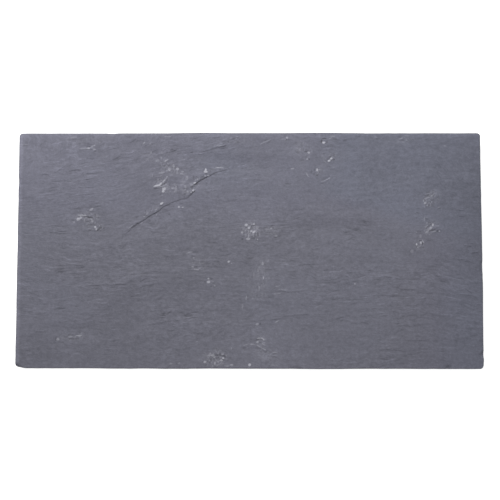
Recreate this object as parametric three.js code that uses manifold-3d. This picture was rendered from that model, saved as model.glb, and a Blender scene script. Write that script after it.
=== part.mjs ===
// A stepping stone: one slab of riven slate, 600 x 305 x 30 mm.
//
// The upper face is split along the slate's grain, so it undulates and breaks into low
// terraces, with one long ledge, several flake scars and small bruised pits. The four sides
// are cut straight and show the edges of the layers, the upper arris is worn round and
// chipped, and the underside is sawn flat.
//
// Millimetres, +Z up. The origin is the centre of the underside, +X runs along the slab and
// +Y across it.

import * as THREE from 'three';
import { mergeVertices } from 'three/addons/utils/BufferGeometryUtils.js';
import Module from 'manifold-3d';

// Driving dimensions
const LENGTH = 600; // along X
const WIDTH = 305; // along Y
const THICKNESS = 30; // underside to the general level of the upper face
const CORNER_RADIUS = 4.5; // in plan
const ARRIS_RADIUS = 1.6; // of the worn upper edge
const LOWER_CHAMFER = 1.5; // of the lower edge, all round

// How finely the faces are divided
const CELLS_ALONG = 64;
const CELLS_ACROSS = 32;
const ARRIS_INSETS = [0, 0.29 * ARRIS_RADIUS, ARRIS_RADIUS];
const SIDE_LEVELS = [0.86, 0.7, 0.52, 0.36, 0.2]; // shares of the height of the side

// Relief of the upper face
const SWELL = { height: 0.7, alongX: 210, alongY: 130, seed: 1 };
const TERRACE = { step: 0.32, steps: 3, alongX: 150, alongY: 46, sharpness: 1.6, seed: 2 };
const GRAIN = { height: 0.14, alongX: 42, alongY: 11, seed: 3 };

// Waviness of the cut sides
const EDGE_WANDER = { depth: 0.22, length: 95, seed: 11 };
const LAYERS = { depth: 0.9, length: 70, thickness: 4, seed: 12 };

// Where a cut side bows in, or out where the depth is negative: the middle of the bow along
// the side, its reach each way and its depth.
const SIDE_BOWS = [
  { outward: [-1, 0], at: 0, reach: 170, depth: 0.35 }, // left
  { outward: [-1, 0], at: -5, reach: 50, depth: 0.35 },
  { outward: [1, 0], at: 95, reach: 85, depth: 0.6 }, // right
  { outward: [1, 0], at: -115, reach: 85, depth: 0.55 },
  { outward: [1, 0], at: -154, reach: 16, depth: 0.9 },
  { outward: [0, 1], at: -62, reach: 45, depth: -0.6 }, // upper
  { outward: [0, 1], at: 95, reach: 65, depth: -0.75 },
  { outward: [0, -1], at: -165, reach: 45, depth: -0.4 }, // lower
  { outward: [0, -1], at: -95, reach: 50, depth: -0.45 },
  { outward: [0, -1], at: 95, reach: 65, depth: -0.6 },
  { outward: [0, -1], at: -298, reach: 14, depth: 1.7 }, // the worn lower left corner
];

// The long ledge climbs to the right in two runs with a jog between them. The face drops
// below its lip by the third figure of each point, and is level again at the far side.
const LEDGE = {
  lip: [
    [-158.5, 21.5, 0.4],
    [-150, 30, 0.8],
    [-140, 36.5, 0.95],
    [-135.5, 39, 0.95],
    [-129.5, 43.5, 0.95],
    [-118, 50, 0.95],
    [-112, 55.5, 0.95],
    [-105, 58.8, 0.55],
    [-97.5, 62.6, 0.5],
    [-92, 65, 0.45],
    [-79.5, 67.6, 0.5],
    [-77, 70.4, 1.05],
    [-73.5, 74.3, 1.05],
    [-70.5, 77, 0.9],
    [-73.8, 81.5, 0.8],
    [-69, 86.3, 1.1],
    [-64, 90, 1.1],
    [-58, 93.3, 1.05],
    [-52.5, 96, 0.95],
    [-46.5, 99.4, 0.8],
    [-39.5, 102.2, 0.65],
    [-29, 104.4, 0.5],
    [-22.5, 106, 0.25],
  ],
  farSide: [
    [-16, 97],
    [-30, 76],
    [-52, 58],
    [-80, 42],
    [-112, 26],
    [-146, 17],
  ],
};

// Flake scars: a shallow bite with a lip round one side, facing the way the face drops.
const FLAKE_SCARS = [
  { at: [-115, 88], size: [20, 7], turn: 33, depth: 0.7 }, // above the long ledge
  { at: [-98, 83], size: [9, 12], turn: 75, depth: 0.8 },
  { at: [-96, 106], size: [14, 8], turn: 20, depth: 0.6 },
  { at: [-213, 41], size: [20, 7], turn: -4, depth: 0.9 }, // left
  { at: [-200, 30], size: [11, 6], turn: -40, depth: 0.7 },
  { at: [5, 27], size: [17, 13], turn: 12, depth: 0.8 }, // centre
  { at: [29, 26], size: [9, 6], turn: -20, depth: 0.5 },
  { at: [232, 67], size: [16, 9], turn: 30, depth: 0.5 }, // right
  { at: [234, 28], size: [13, 8], turn: 40, depth: 0.8 },
  { at: [220, 9], size: [10, 6], turn: 25, depth: 0.6 },
  { at: [14, -118], size: [12, 7], turn: -15, depth: 0.8 }, // lower edge
  { at: [10, -132], size: [36, 14], turn: -12, depth: 0.6 },
  { at: [-40, -140], size: [24, 12], turn: 8, depth: 0.8 },
  { at: [-225, -112], size: [20, 5], turn: 8, depth: 0.7 }, // lower left
  { at: [104, 117], size: [9, 6], turn: 40, depth: 0.6 }, // upper right
  { at: [98, 140], size: [7, 5], turn: 10, depth: 0.5 },
  { at: [-66, -24], size: [12, 4], turn: 0, depth: 0.5 }, // middle
  { at: [-51, -40], size: [7, 6], turn: 20, depth: 0.6 },
  { at: [38, -92], size: [22, 6], turn: 12, depth: 0.5 },
  { at: [-74, -84], size: [22, 6], turn: 16, depth: 0.5 },
];

// Chips off the upper arris: where along the outline, how long and how far in they reach.
const ARRIS_CHIPS = [
  { at: [300, -134], outward: [1, 0], length: 9, bite: 2.6 },
  { at: [300, -22], outward: [1, 0], length: 16, bite: 1.8 },
  { at: [255, -152.5], outward: [0, -1], length: 8, bite: 2.4 },
  { at: [88, 152.5], outward: [0, 1], length: 6, bite: 2.6 },
  { at: [-178, 152.5], outward: [0, 1], length: 14, bite: 1.8 },
  { at: [-300, 88], outward: [-1, 0], length: 12, bite: 1.8 },
  { at: [-297, -150], outward: [-0.6, -0.8], length: 9, bite: 2.6 },
  { at: [60, -152.5], outward: [0, -1], length: 12, bite: 1.6 },
];

const SLATE_COLOUR = 0x6e6e79;
const SLATE_ROUGHNESS = 0.85;

const HALF_LENGTH = LENGTH / 2;
const HALF_WIDTH = WIDTH / 2;
const { clamp, degToRad, lerp } = THREE.MathUtils;

// Noise

// A fixed value from -1 to 1 for each point of a whole-number lattice.
function latticeValue(column, row, seed) {
  let h = (Math.imul(column, 374761393) + Math.imul(row, 668265263) + Math.imul(seed, 974634777)) | 0;
  h = Math.imul(h ^ (h >>> 13), 1274126177);
  return ((h ^ (h >>> 16)) >>> 0) / 2147483647.5 - 1;
}

function ease(t) {
  return t * t * t * (t * (6 * t - 15) + 10);
}

function noise(x, y, seed) {
  const column = Math.floor(x);
  const row = Math.floor(y);
  const s = ease(x - column);
  const t = ease(y - row);
  const alongRow = (r) => lerp(latticeValue(column, r, seed), latticeValue(column + 1, r, seed), s);
  return lerp(alongRow(row), alongRow(row + 1), t);
}

// Height of the upper face

// Flat treads with soft risers between them, as the layers of slate part.
function terraces(value, sharpness) {
  const tread = Math.floor(value);
  const t = clamp((value - tread - 0.5) * sharpness + 0.5, 0, 1);
  return tread + ease(t);
}

function reliefAt(x, y) {
  const bend = noise(x / 120, y / 80, TERRACE.seed + 100);
  const layer = TERRACE.steps * noise(x / TERRACE.alongX, y / TERRACE.alongY + bend, TERRACE.seed);
  return (
    SWELL.height * noise(x / SWELL.alongX, y / SWELL.alongY, SWELL.seed) +
    TERRACE.step * terraces(layer, TERRACE.sharpness) +
    GRAIN.height * noise(x / GRAIN.alongX, y / GRAIN.alongY + bend, GRAIN.seed)
  );
}

// Outline

// Moves a point of the rectangle's border onto the border with rounded corners.
function roundCorner(x, y, halfX, halfY, radius) {
  const beyondX = Math.abs(x) - (halfX - radius);
  const beyondY = Math.abs(y) - (halfY - radius);
  if (beyondX <= 0 || beyondY <= 0) return [x, y];
  const pull = Math.max(beyondX, beyondY) / Math.hypot(beyondX, beyondY);
  return [
    Math.sign(x) * (halfX - radius + beyondX * pull),
    Math.sign(y) * (halfY - radius + beyondY * pull),
  ];
}

// How far the side that faces outward bows in at a place along it.
function bowDepth(along, outwardX, outwardY) {
  const bows = SIDE_BOWS.filter(({ outward }) => outward[0] === outwardX && outward[1] === outwardY);
  return bows.reduce(
    (sum, { at, reach, depth }) => sum + depth * ease(clamp(1 - Math.abs(along - at) / reach, 0, 1)),
    0,
  );
}

// How far the cut sides wander at a point, as a shift in X and Y that fades inwards.
function edgeWander(x, y) {
  const [signX, signY] = [Math.sign(x), Math.sign(y)];
  const { depth, length, seed } = EDGE_WANDER;
  const wanderX = depth * noise(y / length, signX, seed) - bowDepth(y, signX, 0);
  const wanderY = depth * noise(x / length, signY, seed + 1) - bowDepth(x, 0, signY);
  return [wanderX * (x / HALF_LENGTH) ** 9, wanderY * (y / HALF_WIDTH) ** 9];
}

// A point of the plan at its inset from the border, with corners rounded and sides wavy.
function planPoint(x, y, inset) {
  const radius = Math.max(CORNER_RADIUS - inset, 0);
  const [roundX, roundY] = roundCorner(x, y, HALF_LENGTH - inset, HALF_WIDTH - inset, radius);
  const [shiftX, shiftY] = edgeWander(roundX, roundY);
  return [roundX + shiftX, roundY + shiftY];
}

// The drop of the quarter-round arris at an inset from the border.
function arrisDrop(inset) {
  const within = Math.max(ARRIS_RADIUS - inset, 0);
  return ARRIS_RADIUS - Math.sqrt(ARRIS_RADIUS ** 2 - within ** 2);
}

// The grid lines across a half width: close at the arris, even between.
function gridLines(half, cells) {
  const inner = half - ARRIS_RADIUS;
  const lines = [];
  for (let i = 0; i <= cells; i++) lines.push(-inner + (2 * inner * i) / cells);
  const margin = ARRIS_INSETS.slice(0, -1).map((inset) => half - inset);
  return [...margin.map((line) => -line), ...lines, ...margin.reverse()];
}

// The slab

function buildSlab() {
  const columns = gridLines(HALF_LENGTH, CELLS_ALONG);
  const rows = gridLines(HALF_WIDTH, CELLS_ACROSS);
  const positions = [];
  const triangles = [];

  const addVertex = (x, y, z) => positions.push(x, y, z) / 3 - 1;
  const addQuad = (a, b, c, d) => triangles.push(a, b, c, a, c, d);

  // Upper face
  const top = rows.map((y) =>
    columns.map((x) => {
      const inset = Math.min(HALF_LENGTH - Math.abs(x), HALF_WIDTH - Math.abs(y));
      const [planX, planY] = planPoint(x, y, inset);
      return addVertex(planX, planY, THICKNESS + reliefAt(planX, planY) - arrisDrop(inset));
    }),
  );
  for (let row = 0; row < rows.length - 1; row++) {
    for (let column = 0; column < columns.length - 1; column++) {
      addQuad(top[row][column], top[row][column + 1], top[row + 1][column + 1], top[row + 1][column]);
    }
  }

  // The border of the upper face, anticlockwise seen from above
  const lastRow = rows.length - 1;
  const lastColumn = columns.length - 1;
  const border = [];
  for (let column = 0; column < lastColumn; column++) border.push(top[0][column]);
  for (let row = 0; row < lastRow; row++) border.push(top[row][lastColumn]);
  for (let column = lastColumn; column > 0; column--) border.push(top[lastRow][column]);
  for (let row = lastRow; row > 0; row--) border.push(top[row][0]);

  // One ring of the side at height z, set in by the layers' recess and by an extra inset
  function sideRing(z, layerShare, inset = 0) {
    return border.map((i) => {
      const x = positions[3 * i];
      const y = positions[3 * i + 1];
      const onEnd = Math.abs(x) / LENGTH > Math.abs(y) / WIDTH;
      const along = onEnd ? y : x;
      const side = 2 * Math.sign(x) + Math.sign(y);
      const layer = noise(along / LAYERS.length, z / LAYERS.thickness + 9 * side, LAYERS.seed);
      const recess = inset + (layerShare * LAYERS.depth * (1 + layer)) / 2;
      return addVertex(x * (1 - recess / HALF_LENGTH), y * (1 - recess / HALF_WIDTH), z);
    });
  }

  // Sides: rings that step in and out with the layers, then the lower chamfer
  const rings = [border];
  const sideHeight = THICKNESS - ARRIS_RADIUS - LOWER_CHAMFER;
  for (const level of SIDE_LEVELS) rings.push(sideRing(LOWER_CHAMFER + sideHeight * level, 1));
  rings.push(sideRing(LOWER_CHAMFER, 0.4));
  rings.push(sideRing(0, 0, LOWER_CHAMFER));
  for (let r = 0; r < rings.length - 1; r++) {
    for (let i = 0; i < border.length; i++) {
      const next = (i + 1) % border.length;
      addQuad(rings[r + 1][i], rings[r + 1][next], rings[r][next], rings[r][i]);
    }
  }

  // Flat underside
  const last = rings[rings.length - 1];
  const outline = last.map((i) => new THREE.Vector2(positions[3 * i], positions[3 * i + 1]));
  for (const [a, b, c] of THREE.ShapeUtils.triangulateShape(outline, [])) {
    triangles.push(last[a], last[c], last[b]);
  }

  const geometry = new THREE.BufferGeometry();
  geometry.setAttribute('position', new THREE.Float32BufferAttribute(positions, 3));
  geometry.setIndex(triangles);
  return geometry;
}

// Cutters

// A prism over a plan outline, from a sloping floor up to well above the slab.
function prismOver(outline, floorAt) {
  const shape = new THREE.Shape(outline.map(([x, y]) => new THREE.Vector2(x, y)));
  const geometry = new THREE.ExtrudeGeometry(shape, { depth: THICKNESS, bevelEnabled: false });
  const position = geometry.getAttribute('position');
  for (let i = 0; i < position.count; i++) {
    const floor = floorAt(position.getX(i), position.getY(i));
    position.setZ(i, position.getZ(i) > 0 ? 2 * THICKNESS : floor);
  }
  return geometry;
}

// The drop below the ledge.
function ledgeCutter({ lip, farSide }) {
  const points = [...lip, ...farSide.map(([x, y]) => [x, y, 0])];
  const floorAt = (x, y) => {
    const [, , depth] = points.find(([px, py]) => Math.hypot(px - x, py - y) < 0.01);
    return THICKNESS + reliefAt(x, y) - depth;
  };
  return prismOver(points, floorAt);
}

// A flake scar: an irregular oval, deepest at its upper side and running out at its lower.
function scarCutter({ at, size, turn, depth }, index) {
  const POINTS = 9;
  const angle = degToRad(turn);
  const [alongX, alongY] = [Math.cos(angle), Math.sin(angle)];
  const outline = [];
  for (let i = 0; i < POINTS; i++) {
    const a = (2 * Math.PI * i) / POINTS;
    const uneven = 1 + 0.22 * latticeValue(i, index, 31);
    const u = (size[0] / 2) * uneven * Math.cos(a);
    const v = (size[1] / 2) * uneven * Math.sin(a);
    outline.push([at[0] + u * alongX - v * alongY, at[1] + u * alongY + v * alongX]);
  }
  const level = THICKNESS + reliefAt(at[0], at[1]);
  return prismOver(outline, (x, y) => {
    const across = (y - at[1]) * alongX - (x - at[0]) * alongY;
    return level - depth * (0.5 + across / size[1]);
  });
}

// A chip off the arris: the hollow that a rounded blow leaves.
function chipCutter({ at, outward, length, bite }) {
  const geometry = new THREE.IcosahedronGeometry(1, 1);
  geometry.scale(1.5 * bite, length / 2, 1.2 * bite);
  geometry.rotateZ(Math.atan2(outward[1], outward[0]));
  const level = THICKNESS + reliefAt(at[0], at[1]);
  geometry.translate(at[0] + 0.5 * bite * outward[0], at[1] + 0.5 * bite * outward[1], level);
  return geometry;
}

// Booleans

const wasm = await Module();
wasm.setup();

function toManifold(geometry) {
  const plain = geometry.clone();
  plain.deleteAttribute('normal');
  plain.deleteAttribute('uv');
  const merged = mergeVertices(plain, 1e-4);
  return new wasm.Manifold(
    new wasm.Mesh({
      numProp: 3,
      vertProperties: new Float32Array(merged.getAttribute('position').array),
      triVerts: new Uint32Array(merged.getIndex().array),
    }),
  );
}

function toGeometry(solid) {
  const mesh = solid.getMesh();
  const geometry = new THREE.BufferGeometry();
  geometry.setAttribute('position', new THREE.Float32BufferAttribute(mesh.vertProperties, 3));
  geometry.setIndex(Array.from(mesh.triVerts));
  geometry.computeVertexNormals();
  return geometry;
}

// Moves the geometry so that it stands on z = 0 with its box centred on the origin.
function standOnOrigin(geometry) {
  geometry.computeBoundingBox();
  const { min, max } = geometry.boundingBox;
  return geometry.translate(-(min.x + max.x) / 2, -(min.y + max.y) / 2, -min.z);
}

function buildStone() {
  const cutters = [
    ledgeCutter(LEDGE),
    ...FLAKE_SCARS.map(scarCutter),
    ...ARRIS_CHIPS.map(chipCutter),
  ];
  let stone = toManifold(buildSlab());
  for (const cutter of cutters) stone = stone.subtract(toManifold(cutter));
  return standOnOrigin(toGeometry(stone));
}

const slate = new THREE.MeshStandardMaterial({
  color: SLATE_COLOUR,
  roughness: SLATE_ROUGHNESS,
  metalness: 0,
});

const steppingStone = new THREE.Mesh(buildStone(), slate);
steppingStone.name = 'stepping_stone';

const part = new THREE.Group();
part.add(steppingStone);

export default part;
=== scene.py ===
"""A stepping stone: one slab of riven slate, seen from above on a pale floor.

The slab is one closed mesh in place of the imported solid. Its upper face is a height field on
a grid that is finer where the stone is marked: swells, terraces and flakes of the split slate,
a long ledge, flake scars, seams, bruises, pits and chips. The sides show the edges of the
layers and the underside is sawn. Lengths are in millimetres and become metres in the mesh.
"""
import math
from functools import reduce
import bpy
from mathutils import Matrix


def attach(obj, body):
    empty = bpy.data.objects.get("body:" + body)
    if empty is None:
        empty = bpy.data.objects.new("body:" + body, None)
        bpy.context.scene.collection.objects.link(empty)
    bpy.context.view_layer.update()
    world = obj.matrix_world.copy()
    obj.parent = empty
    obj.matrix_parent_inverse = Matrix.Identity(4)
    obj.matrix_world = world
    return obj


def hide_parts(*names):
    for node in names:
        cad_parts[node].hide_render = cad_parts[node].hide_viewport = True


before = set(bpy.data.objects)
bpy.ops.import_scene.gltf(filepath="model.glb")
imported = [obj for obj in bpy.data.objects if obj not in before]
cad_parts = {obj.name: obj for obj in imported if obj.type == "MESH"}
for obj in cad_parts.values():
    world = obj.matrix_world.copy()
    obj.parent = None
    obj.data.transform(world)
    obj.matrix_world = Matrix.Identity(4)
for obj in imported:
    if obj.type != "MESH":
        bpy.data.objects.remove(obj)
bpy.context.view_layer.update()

from types import SimpleNamespace

import bpy
import numpy as np

MM = 0.001

# The slab, as in the part
LENGTH = 600
WIDTH = 305
THICKNESS = 30
CORNER_RADIUS = 4.5
ARRIS_RADIUS = 1.6
LOWER_CHAMFER = 1.5
HALF_LENGTH = LENGTH / 2
HALF_WIDTH = WIDTH / 2

# Grid of the upper face. Cells that a mark or the ledge reaches, with a margin round it, are
# cut into CUT_X by CUT_Y, but not those in the band along the border.
SPACING_X = 2.3
SPACING_Y = 1.3
CUT_X = 4
CUT_Y = 2
CUT_MARGIN = 1.6
UNCUT_BORDER = 3
ARRIS_INSETS = [0, 0.1, 0.4, 0.9]
SIDE_RINGS = 17
SHARP_ANGLE = 50

# Relief of the upper face, as in the part
SWELL = {"height": 0.7, "along_x": 210, "along_y": 130, "seed": 1}
TERRACE = {"step": 0.32, "steps": 3, "along_x": 150, "along_y": 46, "sharpness": 1.6, "seed": 2}
GRAIN = {"height": 0.14, "along_x": 42, "along_y": 11, "seed": 3}

# Finer relief, which the part leaves out. Flakes are the ragged ends of thin layers: height,
# length along and across the split, turn in degrees and seed.
LUMPS = {"height": 0.05, "length": 26, "seed": 21}
FLAKES = [
    (0.04, 13, 4.6, 5, 31),
    (0.055, 6.3, 3, -7, 32),
    (0.055, 3.8, 2.4, 12, 33),
]
RISERS = {"height": 0.28, "period": 8, "length": 24, "seed": 36}

# Spots of strong grain, long streaks and bluer slate: x, y and the reach along each
STRONG_GRAIN = (-180, -30, 90, 45)
STREAKED = [(-185, -45, 80, 40), (190, -60, 90, 45), (-215, 110, 60, 40), (-50, 135, 60, 16)]
BLUE_SPOT = (-35, 108, 35, 25)

# Bands where the grain bends: y and its reach, and the x there
RISE_BAND = (125, 40)
RISE_X = -20
LEFT_BAND = (85, 50)
LEFT_X = -100
DIP_BAND = (-35, 40)
DIP_X = 235

# Where colours change, where the painted shade on the arris changes, and where less shade is painted at the
# ledge's foot
BLUE_X = 235
BLUE_Y = 75
WARM_X = 250
WARM_Y = 62
ARRIS_SHADE_Y = 148
LESS_SHADED_LEDGE = (-101, 14)

# Sides, as in the part. Bows: outward direction, place along the side, reach each way, depth.
EDGE_WANDER = {"depth": 0.22, "length": 95, "seed": 11}
SIDE_LAYERS = {"depth": 0.9, "length": 70, "thickness": 4, "seed": 12}
SIDE_BOWS = [
    ((-1, 0), 0, 170, 0.35), ((-1, 0), -5, 50, 0.35), ((1, 0), 95, 85, 0.6), ((1, 0), -115, 85, 0.55),
    ((1, 0), -154, 16, 0.9), ((0, 1), -62, 45, -0.6), ((0, 1), 95, 65, -0.75), ((0, -1), -165, 45, -0.4),
    ((0, -1), -95, 50, -0.45), ((0, -1), 95, 65, -0.6), ((0, -1), -298, 14, 1.7),
]

# The long ledge: points of its lip, and how far the face drops there, as in the part
LEDGE_LIP = [
    (-158.5, 21.5, 0.4), (-150, 30, 0.8), (-140, 36.5, 0.95), (-135.5, 39, 0.95), (-129.5, 43.5, 0.95),
    (-118, 50, 0.95), (-112, 55.5, 0.95), (-105, 58.8, 0.55), (-97.5, 62.6, 0.5), (-92, 65, 0.45),
    (-79.5, 67.6, 0.5), (-77, 70.4, 1.05), (-73.5, 74.3, 1.05), (-70.5, 77, 0.9), (-73.8, 81.5, 0.8),
    (-69, 86.3, 1.1), (-64, 90, 1.1), (-58, 93.3, 1.05), (-52.5, 96, 0.95), (-46.5, 99.4, 0.8),
    (-39.5, 102.2, 0.65), (-29, 104.4, 0.5), (-22.5, 106, 0.25),
]
LEDGE_REACH = 24
LEDGE_WALL = 1.1
LEDGE_RIM = 0.1
# How much painted shade the crack at the ledge's foot gets for each mm of drop
LEDGE_CRACK_SHADE = 1.2

# Flake scars, as in the part: x, y, length, width, turn in degrees and depth
FLAKE_SCARS = [
    (-115, 88, 20, 7, 33, 0.7), (-98, 83, 9, 12, 75, 0.8), (-96, 106, 14, 8, 20, 0.6),
    (-213, 41, 20, 7, -4, 0.9), (-200, 30, 11, 6, -40, 0.7), (5, 27, 17, 13, 12, 0.8),
    (29, 26, 9, 6, -20, 0.5), (232, 67, 16, 9, 30, 0.5), (234, 28, 13, 8, 40, 0.8), (220, 9, 10, 6, 25, 0.6),
    (14, -118, 12, 7, -15, 0.8), (10, -132, 36, 14, -12, 0.6), (-40, -140, 24, 12, 8, 0.8),
    (-225, -112, 20, 5, 8, 0.7), (104, 117, 9, 6, 40, 0.6), (98, 140, 7, 5, 10, 0.5),
    (-66, -24, 12, 4, 0, 0.5), (-51, -40, 7, 6, 20, 0.6), (38, -92, 22, 6, 12, 0.5),
    (-74, -84, 22, 6, 16, 0.5),
]

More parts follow.
